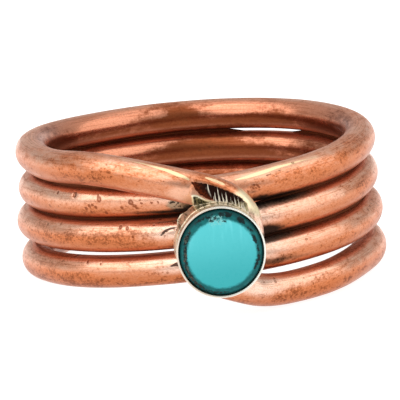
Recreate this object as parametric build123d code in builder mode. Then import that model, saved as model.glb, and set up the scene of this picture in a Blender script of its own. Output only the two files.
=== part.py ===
from build123d import *
import os
from collections import namedtuple
from math import atan2, cos, degrees, radians, sin, tan

# A finger ring wound from one length of round copper wire, with a small silver cup
# soldered over its two ends and a round turquoise set in the cup. All lengths are in
# millimetres. The ring lies on its side as it rests by itself, with the stone facing -Y.

# Driving sizes of the wire coil
finger_bore = 16.0  # clear width of the finger hole
wire_thickness = 1.69  # round copper wire
turns = 4
turn_gap = 0.13  # mean space between one turn and the next
lap_gap = 0.04  # space between a wire end and the turns that it crosses
tip_chamfer = 0.12  # broken edge of the two cut wire ends

# Driving sizes of the cup and its solder
cup_diameter = 4.4
cup_wall = 0.2
cup_floor = 0.3
cup_depth = 0.85  # from the floor up to the rim
rim_turn_in = 0.03  # how far the rim is rubbed in over the stone
rim_edge = 0.08  # thickness of the wall where it ends at the rim
solder_film = 0.05  # solder between the wires and the cup's floor
solder_depth = 0.95  # how far the solder runs down between the wires under the cup
solder_inset = 0.12  # how far the solder stays inside the cup's own edge
seat_gap = 0.02  # between the solder and the wires, and between the cup and the stone

# Driving sizes of the stone
stone_crown = 0.3  # how far the crown stands above the cup's rim
stone_table = 0.8  # share of the stone's width that its gently domed top takes
stone_shoulder_rise = 0.12  # how far the steep shoulder's upper edge stands above the rim
stone_shoulder_drop = 0.14  # how far the shoulder's foot lies below the rim

# What follows from the driving sizes
wire_radius = wire_thickness / 2
coil_radius = finger_bore / 2 + wire_radius  # to the middle of the wire
outer_radius = coil_radius + wire_radius
pitch = wire_thickness + turn_gap
top_level = turns * pitch / 2
lap_step = wire_thickness + lap_gap  # how far out an end lies where it crosses the turns

# The cup sits a little below the middle of the coil, on the outer side of both ends
cup_level = -0.25 * pitch
wires_reach = coil_radius + lap_step + wire_radius
cup_reach = wires_reach + seat_gap + solder_film  # from the coil's axis to the cup's back
stone_radius = cup_diameter / 2 - cup_wall - seat_gap

# The lowest turn climbs as it goes round, so a coil at rest leans off its lowest point:
# these shares of a pitch are how much higher its left and its back are carried
left_carried = 0.59
back_carried = 0.38
lean_left = degrees(atan2(left_carried * pitch, 2 * outer_radius))
lean_back = degrees(atan2(back_carried * pitch, 2 * outer_radius))

# The turns are wound by hand. A row is one turn, from the lowest up, and gives how far the
# wire lies off an even coil at each side of the ring, in wire thicknesses. The top turn
# leaves before it reaches the front, so its last number isn't used.
Turn = namedtuple("Turn", "right back left front")
lies_up = [
    Turn(right=-0.29, back=-0.03, left=-0.07, front=0.08),
    Turn(right=-0.09, back=0.00, left=0.03, front=0.03),
    Turn(right=0.01, back=-0.02, left=0.01, front=0.02),
    Turn(right=0.04, back=-0.05, left=-0.04, front=0.00),
]
lies_out = [
    Turn(right=0.00, back=0.06, left=0.05, front=-0.02),
    Turn(right=-0.03, back=0.03, left=0.07, front=0.02),
    Turn(right=-0.09, back=-0.07, left=-0.10, front=-0.03),
    Turn(right=-0.07, back=-0.08, left=-0.11, front=0.00),
]

# Where each end leaves its turn and climbs out over the others: degrees round from the
# stone, how far out as a share of the lap step, and pitches above the top or bottom level
Climb = namedtuple("Climb", "turned out up")
bottom_end_climb = [
    Climb(turned=46, out=0.21, up=0.01),
    Climb(turned=26, out=0.09, up=-0.04),
    Climb(turned=12.5, out=0.39, up=0.10),
]
top_end_climb = [
    Climb(turned=-97, out=0.12, up=-0.15),
    Climb(turned=-62, out=0.20, up=-0.18),
    Climb(turned=-36, out=0.59, up=0.01),
    Climb(turned=-14.5, out=1.04, up=-0.31),
]

# How each end then runs under the cup: across and up from the cup's centre, as shares of
# the cup's diameter
Under = namedtuple("Under", "across up")
bottom_end_under = [
    Under(across=0.16, up=-0.51),
    Under(across=-0.08, up=-0.41),
]
top_end_under = [
    Under(across=0.05, up=0.59),
    Under(across=0.26, up=0.41),
    Under(across=0.35, up=0.20),
    Under(across=0.33, up=-0.12),
]

corner_angle = 45  # the turns' route has a corner at each eighth of a turn
arc_share = 0.49  # how much of a run between two corners each corner's arc takes


def round_the_coil(angle, radius, level):
    """A point of the coil: degrees round from the stone, then out, then up."""
    return Vector(radius * sin(radians(angle)), -radius * cos(radians(angle)), level)


def unevenness(table, angle):
    """The table's value at an angle, halfway between two sides the mean of both."""
    sides = [side for turn in table for side in turn]
    place = angle / 90 - 1
    before = sides[int(place) % len(sides)]
    after = sides[int(place + 0.5) % len(sides)]
    return wire_thickness * (before + after) / 2


def turn_corners():
    """Corners of the regular turns, from the right of the lowest to the back of the top."""
    corner_out = 1 / cos(radians(corner_angle / 2))
    first = 90
    last = 360 * turns - 135
    corners = []
    for angle in range(first, last + 1, corner_angle):
        radius = (coil_radius + unevenness(lies_out, angle)) * corner_out
        level = angle / 360 * pitch - top_level + unevenness(lies_up, angle)
        corners.append(round_the_coil(angle, radius, level))
    return corners


def climb_corners(rows, level):
    """Corners of the run that leaves the bottom or the top turn, at that turn's level."""
    return [
        round_the_coil(row.turned, coil_radius + row.out * lap_step, level + row.up * pitch)
        for row in rows
    ]


def under_corners(rows):
    """Corners of the run under the cup, a wire's thickness outside the turns."""
    outer_layer = coil_radius + lap_step
    return [
        Vector(row.across * cup_diameter, -outer_layer, cup_level + row.up * cup_diameter)
        for row in rows
    ]


def bend_radii(corners):
    """The largest arc that the two runs at each inner corner leave room for."""
    radii = []
    for before, corner, after in zip(corners, corners[1:], corners[2:]):
        run_in = corner - before
        run_out = after - corner
        half_turn = radians(run_in.get_angle(run_out)) / 2
        radii.append(arc_share * min(run_in.length, run_out.length) / tan(half_turn))
    return radii


route_corners = (
    list(reversed(under_corners(bottom_end_under)))
    + list(reversed(climb_corners(bottom_end_climb, -top_level)))
    + turn_corners()
    + climb_corners(top_end_climb, top_level)
    + under_corners(top_end_under)
)
wire_bends = bend_radii(route_corners)
wire_route = [tuple(corner) for corner in route_corners]  # in the coil's own plane

# The coil's own plane leans as the ring rests. It is laid through the origin once, only to
# measure the wire's reach, and then set so that the origin is under the middle of the ring.
leaning = Plane.XY.rotated((-lean_back, -lean_left, 0))
with BuildLine(leaning) as reach:
    FilletPolyline(*wire_route, radius=wire_bends)
reach_box = reach.line.bounding_box()
crown_reach = cup_reach + cup_floor + cup_depth + stone_crown
crown = leaning.from_local_coords(Vector(0, -crown_reach, cup_level))
coil_plane = Plane(
    origin=(
        -reach_box.center().X,
        -(reach_box.max.Y + wire_radius + crown.Y) / 2,
        wire_radius - reach_box.min.Z,
    ),
    x_dir=leaning.x_dir,
    z_dir=leaning.z_dir,
)

# Copper wire: one length, from its end under the foot of the cup to its hooked end
with BuildPart() as coil:
    with BuildLine(coil_plane) as centre_line:
        FilletPolyline(*wire_route, radius=wire_bends)
    wire_path = centre_line.wire()
    wire_start = Plane(origin=wire_path @ 0, z_dir=wire_path % 0)
    with BuildSketch(wire_start):
        Circle(wire_radius)
    sweep(path=wire_path)
    wire_tips = coil.faces().filter_by(GeomType.PLANE)
    chamfer(wire_tips.edges(), tip_chamfer)
coil.part.label = "coil"

# The cup stands on the ends of the wire and looks straight out from the coil's axis
cup_plane = Plane(
    origin=coil_plane.from_local_coords(Vector(0, -cup_reach, cup_level)),
    x_dir=coil_plane.x_dir,
    z_dir=-coil_plane.y_dir,
)
cup_section = Plane(origin=cup_plane.origin, x_dir=cup_plane.x_dir, z_dir=-cup_plane.y_dir)
cup_axis = Axis(cup_plane.origin, cup_plane.z_dir)
cup_radius = cup_diameter / 2
rim_height = cup_floor + cup_depth
rim_bend_height = rim_height - stone_shoulder_drop

# Silver cup: a floor and a thin wall rubbed in at the rim, on the solder that has run down
# between the two wire ends
with BuildPart() as bezel_cup:
    with BuildSketch(cup_section):
        with BuildLine():
            Polyline(
                (0, cup_floor),
                (0, 0),
                (cup_radius, 0),
                (cup_radius, rim_bend_height),
                (cup_radius - rim_turn_in, rim_height),
                (cup_radius - rim_turn_in - rim_edge, rim_height),
                (cup_radius - cup_wall, rim_bend_height),
                (cup_radius - cup_wall, cup_floor),
                (0, cup_floor),
            )
        make_face()
    revolve(axis=cup_axis)
    with BuildSketch(cup_plane):
        Circle(cup_radius - solder_inset)
    extrude(amount=-solder_depth)
    with BuildSketch(wire_start):
        Circle(wire_radius + seat_gap)
    sweep(path=wire_path, mode=Mode.SUBTRACT)
bezel_cup.part.label = "bezel_cup"

# Turquoise: a round stone with upright sides, a steep shoulder and a gently domed top
stone_foot = cup_floor + seat_gap
table_radius = stone_table * stone_radius
crown_height = rim_height + stone_crown
with BuildPart() as cabochon:
    with BuildSketch(cup_section):
        with BuildLine():
            Polyline(
                (0, crown_height),
                (0, stone_foot),
                (stone_radius, stone_foot),
                (stone_radius, rim_bend_height),
            )
            table_edge = (table_radius, rim_height + stone_shoulder_rise)
            dome = TangentArc((0, crown_height), table_edge, tangent=(1, 0))
            TangentArc(table_edge, (stone_radius, rim_bend_height), tangent=dome % 1)
        make_face()
    revolve(axis=cup_axis)
cabochon.part.label = "cabochon"

os.makedirs("parts", exist_ok=True)
for piece in (coil, bezel_cup, cabochon):
    export_step(piece.part, f"parts/{piece.part.label}.step")
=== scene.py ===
# %% [markdown]
# # A coil ring with a turquoise, dressed for its portrait
#
# The ring is one length of round copper wire, wound four times round the finger by hand.
# Its two ends cross at the front, and a small silver cup soldered over them holds a round
# turquoise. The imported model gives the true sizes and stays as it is. This lesson loads
# it, sets the camera and the light first, and then builds every visible piece over it.

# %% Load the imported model
from collections import namedtuple
from math import cos, pi, radians, sin

import bpy
import numpy as np
from mathutils import Matrix, Vector
from mathutils.bvhtree import BVHTree


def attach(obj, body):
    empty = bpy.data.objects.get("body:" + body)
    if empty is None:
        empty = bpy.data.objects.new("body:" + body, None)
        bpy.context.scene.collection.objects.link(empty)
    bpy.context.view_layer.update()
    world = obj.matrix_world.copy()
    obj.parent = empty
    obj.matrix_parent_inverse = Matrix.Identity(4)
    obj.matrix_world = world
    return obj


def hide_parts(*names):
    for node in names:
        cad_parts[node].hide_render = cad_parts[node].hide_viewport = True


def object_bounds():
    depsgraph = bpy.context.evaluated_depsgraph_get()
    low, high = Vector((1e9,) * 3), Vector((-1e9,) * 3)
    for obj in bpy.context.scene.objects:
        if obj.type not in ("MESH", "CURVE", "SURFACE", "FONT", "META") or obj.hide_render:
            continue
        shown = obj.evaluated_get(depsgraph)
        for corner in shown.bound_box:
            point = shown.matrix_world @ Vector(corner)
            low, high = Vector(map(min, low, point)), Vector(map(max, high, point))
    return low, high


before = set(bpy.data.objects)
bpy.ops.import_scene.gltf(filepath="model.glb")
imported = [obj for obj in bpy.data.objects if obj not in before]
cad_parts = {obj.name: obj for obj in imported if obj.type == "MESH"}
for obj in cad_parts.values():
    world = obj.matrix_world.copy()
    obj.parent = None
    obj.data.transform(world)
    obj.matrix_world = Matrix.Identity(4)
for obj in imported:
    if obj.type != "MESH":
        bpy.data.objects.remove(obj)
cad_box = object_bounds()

MM = 0.001
print("CAD box, mm:", [[round(v / MM, 2) for v in corner] for corner in cad_box])

# %% [markdown]
# ## Two sets of axes
#
# Every place on a ring is easiest to say in the ring's own terms: how far round from the
# stone, how far out from the middle, and how high in the stack of turns. The real ring
# leans a little as it lies, because its lowest turn climbs. So the coil gets axes of its
# own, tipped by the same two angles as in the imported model. The cup looks straight out of
# the coil, and its axes say how far across, up and out something is from the cup's foot.

# %% The coil's axes and the cup's
coil_middle = np.array([-0.0565, 1.6155, 4.0162])
lean_left = 3.172
lean_back = 2.044
tip_back = Matrix.Rotation(-radians(lean_back), 3, "X")
tip_left = Matrix.Rotation(-radians(lean_left), 3, "Y")
coil_axes = np.array(tip_back @ tip_left)  # its columns are across, back and up
cup_foot = np.array([-0.0313, -9.8834, 3.9719])
cup_axes = np.column_stack([coil_axes[:, 0], coil_axes[:, 2], -coil_axes[:, 1]])


def round_the_coil(turned, out, level):
    """A place on the coil: degrees round from the stone, out from the axis, and up."""
    return np.array([out * sin(radians(turned)), -out * cos(radians(turned)), level])


def from_coil(points):
    """Places on the coil, moved into the model's own frame."""
    return coil_middle + np.asarray(points) @ coil_axes.T


def from_cup(points):
    """Places seen from the cup's foot, moved into the model's own frame."""
    return cup_foot + np.asarray(points) @ cup_axes.T


def to_cup(points):
    """Places in the model's frame, as they are seen from the cup's foot."""
    return (np.asarray(points) - cup_foot) @ cup_axes


print("the cup looks towards", np.round(cup_axes[:, 2], 3))

# %% [markdown]
# ## The camera first
#
# The portrait was taken from close to straight in front, a little above the top turn,
# with a long lens: the far side of the ring looks almost as wide as the near side. A long
# lens far away gives that. The picture is rolled by six degrees against the coil, which is
# how the ring comes to look as if it tips to the left. All the angles are in the coil's
# own axes, and the camera is built straight from the directions that they give.

# %% Camera
camera_turned = -3.8
camera_raised = 11.95
camera_rolled = 5.97
camera_distance = 176.7
lens_length = 297.8
picture_width = 36
aim_across = 0.016
aim_up = -0.331

turned = radians(camera_turned)
raised = radians(camera_raised)
rolled = radians(camera_rolled)
towards = coil_axes @ [sin(turned) * cos(raised), -cos(turned) * cos(raised), sin(raised)]
level_right = coil_axes @ [cos(turned), sin(turned), 0]
level_up = np.cross(towards, level_right)
picture_right = cos(rolled) * level_right - sin(rolled) * level_up
picture_up = np.cross(towards, picture_right)
camera_place = coil_middle + camera_distance * towards
camera_place = camera_place + aim_across * picture_right + aim_up * picture_up
camera_data = bpy.data.cameras.new("portrait_lens")
camera_data.lens = lens_length
camera_data.sensor_width = picture_width
camera_data.clip_start = 10 * MM
camera_data.clip_end = 10000 * MM
camera = bpy.data.objects.new("portrait_camera", camera_data)
bpy.context.scene.collection.objects.link(camera)
camera_facing = Matrix([picture_right, picture_up, towards]).transposed().to_4x4()
camera.matrix_world = Matrix.Translation(Vector(camera_place * MM)) @ camera_facing
bpy.context.scene.camera = camera
print("camera at", np.round(camera_place), "mm")

# %% [markdown]
# ## From sums to shader nodes
#
# A material is a small network of nodes, and most of them only add, multiply or compare.
# Wiring those by hand hides the thought behind them. The class below holds one socket
# and answers to Python's own signs, so `1 - mask` makes the Math node that it stands for.
# Every other node comes from its `node` method, which sets the node up first and then
# fills or links its sockets.


# %% One socket that answers to Python's signs
class Shade:
    """One socket in a material, with sums on it written as plain Python."""

    def __init__(self, tree, socket=None):
        self.tree = tree
        self.socket = socket

    def node(self, kind, settings=None, inputs=None, output=0):
        """A new node in the same material: its settings first, then its sockets."""
        made = self.tree.nodes.new("ShaderNode" + kind)
        for name, value in (settings or {}).items():
            setattr(made, name, value)
        for name, value in (inputs or {}).items():
            if isinstance(value, Shade):
                self.tree.links.new(value.socket, made.inputs[name])
            else:
                made.inputs[name].default_value = value
        return Shade(self.tree, made.outputs[output])

    def sum(self, operation, *values):
        """A Math node, or a Vector Math node where this socket is a direction or place."""
        kind = "VectorMath" if self.socket.type == "VECTOR" else "Math"
        return self.node(kind, {"operation": operation}, dict(enumerate(values)))

    def __add__(self, other):
        return self.sum("ADD", self, other)

    def __sub__(self, other):
        return self.sum("SUBTRACT", self, other)

    def __rsub__(self, other):
        return self.sum("SUBTRACT", other, self)

    def __mul__(self, other):
        return self.sum("MULTIPLY", self, other)

    def __truediv__(self, other):
        return self.sum("DIVIDE", self, other)

    def __pow__(self, other):
        return self.sum("POWER", self, other)

    __radd__ = __add__
    __rmul__ = __mul__


print("a socket now answers to + - * / and **")

# %% [markdown]
# Two sums are needed everywhere: a soft step from 0 to 1, and a mix of two colours. Every
# material starts from the same kind of surface, the Principled shader, so one helper
# starts a material and another plugs what was worked out into its shader.


# %% Steps, mixes, and a shader to plug them into
def between(value, low, high):
    """Runs smoothly from 0 to 1 while the value runs from low to high."""
    settings = {"interpolation_type": "SMOOTHSTEP"}
    return value.node("MapRange", settings, {"Value": value, "From Min": low, "From Max": high})


def blend(share, under, over, way="MIX"):
    """Two colours mixed: all of the first at 0, and all of the second at 1."""
    under, over = ((*c, 1) if isinstance(c, tuple) else c for c in (under, over))
    settings = {"data_type": "RGBA", "blend_type": way}
    # of a Mix node's sockets, 6 and 7 take the colours and output 2 gives the mixed one
    return share.node("Mix", settings, {0: share, 6: under, 7: over}, output=2)


def darken(share, colour, tint):
    """The colour multiplied by a tint, as much as the share says."""
    return blend(share, colour, tint, "MULTIPLY")


def start_material(name):
    """A new material: its first socket, to build nodes from, and its surface shader."""
    material = bpy.data.materials.new(name)
    material.use_nodes = True
    tree = material.node_tree
    return material, Shade(tree), tree.nodes["Principled BSDF"]


def plug(value, shader, socket):
    """Links what was worked out to one socket of a shader."""
    value.tree.links.new(value.socket, shader.inputs[socket])


print("materials can be started")

# %% [markdown]
# Some nodes are needed again and again: soft clouds of noise, what the mesh remembers at
# a point, one number out of a place, and a relief. Each gets a short name here, so that a
# material reads like a list of what happened to the metal.


# %% Nodes with short names
def cloud(place, scale, detail=3.0, rough=0.55):
    """Soft random patches, about one for each 1/scale of a millimetre."""
    inputs = {"Vector": place, "Scale": scale, "Detail": detail, "Roughness": rough}
    return place.node("TexNoise", None, inputs)


def remembered(first, label, output="Fac"):
    """What the mesh remembers under this name: a value, or a place with Vector."""
    return first.node("Attribute", {"attribute_name": label}, None, output)


def part(place, axis):
    """One of the three numbers of a place, as X, Y or Z."""
    return place.node("SeparateXYZ", None, {0: place}, axis)


def distance(place):
    """How far a place is from its own zero."""
    return place.node("VectorMath", {"operation": "LENGTH"}, {0: place}, "Value")


def larger(one, other):
    """Whichever of two shares is the larger at each spot."""
    return one.sum("MAXIMUM", one, other)


def relief(height, strength):
    """A bump on the surface: a height of 1 stands for a fiftieth of a millimetre."""
    inputs = {"Strength": strength, "Distance": 0.02 * MM, "Height": height}
    return height.node("Bump", None, inputs)


def tell(material):
    """Prints how far a material has grown."""
    print(material.name, "has", len(material.node_tree.nodes), "nodes so far")


print("shader words are ready")

# %% [markdown]
# ## A white studio
#
# Polished metal shows whatever stands around it, so jewellery is photographed in a tent
# of white cloth with large soft lights outside. The cloth is brightest overhead, a little
# dimmer towards the table, and it has an opening in front for the lens, which shows as a
# darker patch in the metal. Just above the table it is bright again, so that no dark line
# shows where the paper ends. The standard view keeps whites white, where a film-like view
# would turn them grey.

# %% Surround and view
warm_white = (1.0, 0.98, 0.96)
scene = bpy.context.scene
scene.view_settings.view_transform = "Standard"
tent = bpy.data.worlds.new("tent_of_cloth")
tent.use_nodes = True
scene.world = tent
tent_shader = tent.node_tree.nodes["Background"]
tent_shader.inputs["Color"].default_value = (*warm_white, 1)
way_out = Shade(tent.node_tree).node("TexCoord", output="Generated")
towards_lens = part(way_out, "Y") * -1
towards_top = part(way_out, "Z")
cloth = 0.42 + between(towards_top, -0.05, 0.9) * 0.28 + between(towards_top, 0.25, 0.06) * 0.50
cloth = cloth - between(towards_lens, 0.80, 0.97) * 0.10
plug(cloth, tent_shader, "Strength")
print("tent of cloth hung")

# %% [markdown]
# A soft light is a large one. Each lamp is a square panel that looks at the ring. Its
# place is given the way a photographer would say it: how far round, how high, how far
# away. Its power is worked out from how bright its face should look, which is what the
# metal reflects.

# %% Soft lights
Panel = namedtuple("Panel", "name turned raised away size face_brightness")
panels = [
    Panel("left_panel", -61, 45, 230, 300, 1.22),
    Panel("right_panel", 70, 35, 230, 255, 0.82),
    Panel("overhead_panel", 180, 84, 210, 180, 0.75),
]
for panel in panels:
    lamp = bpy.data.lights.new(panel.name, "AREA")
    lamp.shape = "SQUARE"
    lamp.size = panel.size * MM
    lamp.energy = panel.face_brightness * pi * lamp.size**2
    lamp.color = warm_white
    stand = bpy.data.objects.new(panel.name, lamp)
    scene.collection.objects.link(stand)
    above = radians(panel.raised)
    direction = Vector(round_the_coil(panel.turned, cos(above), sin(above)))
    stand_place = Vector(coil_middle) + panel.away * direction
    look = (-direction).to_track_quat("-Z", "Y")
    stand.matrix_world = Matrix.Translation(stand_place * MM) @ look.to_matrix().to_4x4()
    print(panel.name, "gives", round(lamp.energy, 3), "watts")

# %% [markdown]
# ## The paper
#
# The floor is a sweep of matt white paper over a light table, wider than any view of the
# ring. The light from below keeps the shadows faint. The paper is part of the studio and
# not of the ring. Its faint grain comes from a cloud of noise.

# %% White paper
paper, paper_start, paper_shader = start_material("white_paper")
paper_place = paper_start.node("TexCoord", output="Object") * (1 / MM, 1 / MM, 1 / MM)
fibres = cloud(paper_place, 0.4)
plug(blend(fibres, (0.36, 0.36, 0.36), (0.40, 0.40, 0.40)), paper_shader, "Base Color")
paper_shader.inputs["Roughness"].default_value = 0.9
paper_shader.inputs["Specular IOR Level"].default_value = 0.1
paper_shader.inputs["Emission Color"].default_value = (1.0, 1.0, 1.0, 1)
paper_shader.inputs["Emission Strength"].default_value = 0.88

paper_reach = 3000
far = paper_reach * MM
paper_corners = [(-far, -far, 0), (far, -far, 0), (far, far, 0), (-far, far, 0)]
paper_mesh = bpy.data.meshes.new("paper")
paper_mesh.from_pydata(paper_corners, [], [(0, 1, 2, 3)])
paper_mesh.materials.append(paper)
floor = bpy.data.objects.new("paper", paper_mesh)
scene.collection.objects.link(floor)
print("paper", 2 * paper_reach, "mm wide")

# %% [markdown]
# ## The way of the wire
#
# The wire starts under the foot of the cup, climbs on to the lowest turn, goes round
# nearly four times, crosses over in front of the other turns and hooks down beside the
# cup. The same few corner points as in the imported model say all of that: hand winding is
# uneven, so a small table says how far each side of each turn lies off an even coil.

# %% Sizes of the wire
finger_bore = 16.0
wire_thickness = 1.69
turns = 4
turn_gap = 0.13
lap_gap = 0.04
cup_diameter = 4.4

wire_radius = wire_thickness / 2
coil_radius = finger_bore / 2 + wire_radius
outer_radius = coil_radius + wire_radius
pitch = wire_thickness + turn_gap
top_level = turns * pitch / 2
lap_step = wire_thickness + lap_gap
cup_level = -0.25 * pitch
print("the coil is", round(2 * outer_radius, 2), "mm wide, a turn", round(pitch, 2), "mm high")

# %% The table of turns
# Each row is a turn, from the lowest up; each number is a share of the wire's thickness,
# at its right, back, left and front
lies_up = [
    (-0.29, -0.03, -0.09, 0.06),
    (-0.09, 0.00, 0.045, 0.04),
    (0.01, -0.04, 0.01, 0.02),
    (0.04, -0.03, -0.04, 0.00),
]
lies_out = [
    (0.00, 0.06, 0.05, -0.02),
    (-0.03, 0.03, 0.07, 0.02),
    (-0.09, -0.07, -0.10, -0.03),
    (-0.07, -0.08, -0.11, 0.00),
]


def unevenness(table, angle):
    """The table's value at an angle, halfway between two sides the mean of both."""
    sides = [side for row in table for side in row]
    place = angle / 90 - 1
    before = sides[int(place) % len(sides)]
    after = sides[int(place + 0.5) % len(sides)]
    return wire_thickness * (before + after) / 2


first_angle = 90
last_angle = 360 * turns - 135
corner_angle = 45
corner_out = 1 / cos(radians(corner_angle / 2))
turn_corners = [
    round_the_coil(
        angle,
        (coil_radius + unevenness(lies_out, angle)) * corner_out,
        angle / 360 * pitch - top_level + unevenness(lies_up, angle),
    )
    for angle in range(first_angle, last_angle + 1, corner_angle)
]
print(len(turn_corners), "corners of the even turns")

# %% [markdown]
# Each end then leaves its turn and climbs out by one wire's thickness to cross the others.
# These corners are listed one by one, first by how far round the ring they are, and then,
# under the cup, by how far across and up from the middle of the cup.

# %% The two ends
# degrees round, how far out in lap steps, and how far up in pitches
bottom_climb = [(46, 0.21, 0.01), (26, 0.09, -0.04), (12.5, 0.39, 0.10)]
top_climb = [(-97, 0.12, -0.15), (-62, 0.20, -0.18), (-36, 0.59, 0.01), (-14.5, 1.04, -0.31)]
# across and up in cup diameters
bottom_under = [(0.16, -0.51), (-0.08, -0.41)]
top_under = [(0.05, 0.59), (0.26, 0.41), (0.35, 0.20), (0.33, -0.12)]


def climb_corners(rows, level):
    """Corners of the run that leaves a turn lying at this level."""
    return [
        round_the_coil(angle, coil_radius + out * lap_step, level + up * pitch)
        for angle, out, up in rows
    ]


def under_corners(rows):
    """Corners of the run under the cup, one lap step outside the turns."""
    outer_layer = coil_radius + lap_step
    return [
        np.array([across * cup_diameter, -outer_layer, cup_level + up * cup_diameter])
        for across, up in rows
    ]


route = (
    under_corners(bottom_under)[::-1]
    + climb_corners(bottom_climb, -top_level)[::-1]
    + turn_corners
    + climb_corners(top_climb, top_level)
    + under_corners(top_under)
)
print(len(route), "corners in the whole way of the wire")

# %% [markdown]
# A few sums on rows of numbers come again and again from here on: how long each row is,
# the same directions brought to a length of one, how far along a line each of its points
# lies and how far round it has wound, and numbers read off between the rows of a table.


# %% Sums on rows of numbers
def lengths(rows):
    """How long each row is."""
    return np.linalg.norm(rows, axis=1)


def unit(rows):
    """The same directions, each brought to a length of one."""
    return rows / lengths(rows)[:, None]


def lengths_along(points):
    """How far along a line each of its points lies."""
    return np.append(0, np.cumsum(lengths(np.diff(points, axis=0))))


def degrees_wound(points):
    """How many degrees a line has wound round the coil at each of its points."""
    return np.degrees(np.unwrap(np.arctan2(points[:, 0], -points[:, 1])))


def read_off(where, known, rows):
    """The table's rows as they are at these places, between the places that are known."""
    return np.stack([np.interp(where, known, column) for column in rows.T], axis=-1)


print("row sums are ready")

# %% [markdown]
# A wire that is bent by hand has no corners, so the corner points steer a smooth spline,
# a NURBS curve of order 3, as a maker's fingers steer the wire. Blender works out the
# curve, and its points come back as a plain line. That line is then cut into short
# steps: fine ones where the end crosses over at the front, because the file marks there
# are small, and longer ones round the back.


# %% A smooth line through the corners
def smooth_line(corners_of_line, steps=160):
    """The points of an order 3 NURBS curve steered by these corners."""
    curve = bpy.data.curves.new("way", "CURVE")
    curve.dimensions = "3D"
    spline = curve.splines.new("NURBS")
    spline.points.add(len(corners_of_line) - 1)
    for point, corner in zip(spline.points, corners_of_line):
        point.co = (*corner, 1)
    spline.order_u = 3
    spline.use_endpoint_u = True
    spline.resolution_u = steps
    carrier = bpy.data.objects.new("way", curve)
    line = bpy.data.meshes.new_from_object(carrier)
    points = np.array([vertex.co[:] for vertex in line.vertices])
    bpy.data.meshes.remove(line)
    bpy.data.objects.remove(carrier)
    bpy.data.curves.remove(curve)
    return points


line_points = smooth_line(route)
line_lengths = lengths_along(line_points)
wire_length = line_lengths[-1]
print("wire", round(wire_length, 1), "mm long, from", len(line_points), "points")

# %% Cut the line into rings
crossing_length = 16.0  # the end that crosses over and hooks down is this long
fine_step = 0.07
coarse_step = 0.2
line_tail = 300  # the line's last points run under the cup, where the angle turns back
line_wound = degrees_wound(line_points)


def length_at(angle):
    """How far along the wire it has wound this many degrees."""
    return float(np.interp(angle, line_wound[:-line_tail], line_lengths[:-line_tail]))


# the small marks are on the left front of the three lower turns, on the right front of
# the top turn and on the crossing end
fine_angles = [(300, 352), (660, 712), (1020, 1072), (1088, 1110)]
fine_parts = [(length_at(first), length_at(last)) for first, last in fine_angles]
fine_parts.append((wire_length - crossing_length, wire_length))
along = []
done = 0.0
for start, end in fine_parts:
    along = along + list(np.arange(done, start, coarse_step))
    along = along + list(np.arange(start, end, fine_step))
    done = end
along = np.array(along + [wire_length])
centres = read_off(along, line_lengths, line_points)
headings = unit(np.gradient(centres, along, axis=0))
print(len(along), "rings along the wire")

# %% [markdown]
# ## The wire
#
# A plain tube would look like plastic pipe. Real wire has been pulled, wound over a rod,
# soldered and filed, so its section is not quite round anywhere. The rings are placed
# with their first point facing away from the finger, which keeps the tube from twisting
# and lets every later mark say whether it is on the outer side, on top or inside. The
# unevenness is a random walk made of a few long waves, so the wire swells and flattens by
# a few thousandths of a millimetre, and each cut end is rounded like a worn edge.

# %% Rings round the wire
wire_sides = 60
tip_rounding = 0.12
outward = unit(centres * (1, 1, 0))
outward = unit(outward - headings * (outward * headings).sum(axis=1)[:, None])
upward = np.cross(outward, headings)
upward *= np.sign(upward[len(upward) // 2, 2])
around = np.arange(wire_sides) / wire_sides * 2 * pi

luck = np.random.default_rng(7)


def wander(positions, longest, rows=6):
    """A smooth random walk along the positions, about 1 high, of shorter and lower waves."""
    total = np.zeros_like(positions, dtype=float)
    for row in range(rows):
        wave = longest / (1 + row * 0.83)
        height = 0.5 / (1 + row * 0.5)
        total += height * np.sin(2 * pi * positions / wave + luck.uniform(0, 2 * pi))
    return total


section_wander = 0.006
thickness = wire_radius + section_wander * wander(along, longest=14)
flattening = section_wander * wander(along, longest=23)
tip_distance = np.minimum(along, wire_length - along)
rounding = np.clip(1 - tip_distance / tip_rounding, 0, 1)
thickness = thickness - tip_rounding * (1 - np.sqrt(1 - rounding**2))
reach = thickness[:, None] + flattening[:, None] * np.cos(2 * around)[None, :]
wire_rings = (
    centres[:, None, :]
    + (reach * np.cos(around))[:, :, None] * outward[:, None, :]
    + (reach * np.sin(around))[:, :, None] * upward[:, None, :]
)
wire_rings = from_coil(wire_rings)
print("wire skin of", wire_rings.shape[0] * wire_sides, "points")

# %% [markdown]
# Flat places come from the file. The maker levelled the crossing wire where the cup
# stands on it, and dressed the top of the wire on both sides. A file takes off whatever
# stands above one plane, and the code does the same: each point near the cut that lies
# outside the plane is pushed back on to it. Cutting the flat out with a second shape
# would break up the even rings that every later mark is placed on.

# %% File the flat beside the cup
flat_place = (0.25, 2.62, -0.07)  # across, up and out from the cup's foot
flat_lean = radians(9)  # how far the file's face was tipped upwards
flat_depth = 0.13
flat_reach = 1.45
wire_points = wire_rings.reshape(-1, 3)  # the same numbers, so filing these files the rings
wire_along = np.repeat(along, wire_sides)
crossing = wire_along > wire_length - crossing_length


def file_flat(points, chosen, middle, facing, reach):
    """Pushes the chosen points within reach back on to a plane, as a file would."""
    above = (points - middle) @ facing
    near = lengths(points - middle) < reach
    cut = chosen & near & (above > 0)
    points[cut] -= above[cut, None] * facing
    return cut


facing = cup_axes @ [0, sin(flat_lean), cos(flat_lean)]
ring_places = from_coil(centres)[along >= wire_length - crossing_length]
ring_away = lengths(ring_places - from_cup(flat_place))
flat_middle = ring_places[np.argmin(ring_away)] + facing * (wire_radius - flat_depth)
cut = file_flat(wire_points, crossing, flat_middle, facing, flat_reach)
print("filed", int(cut.sum()), "points")

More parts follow.
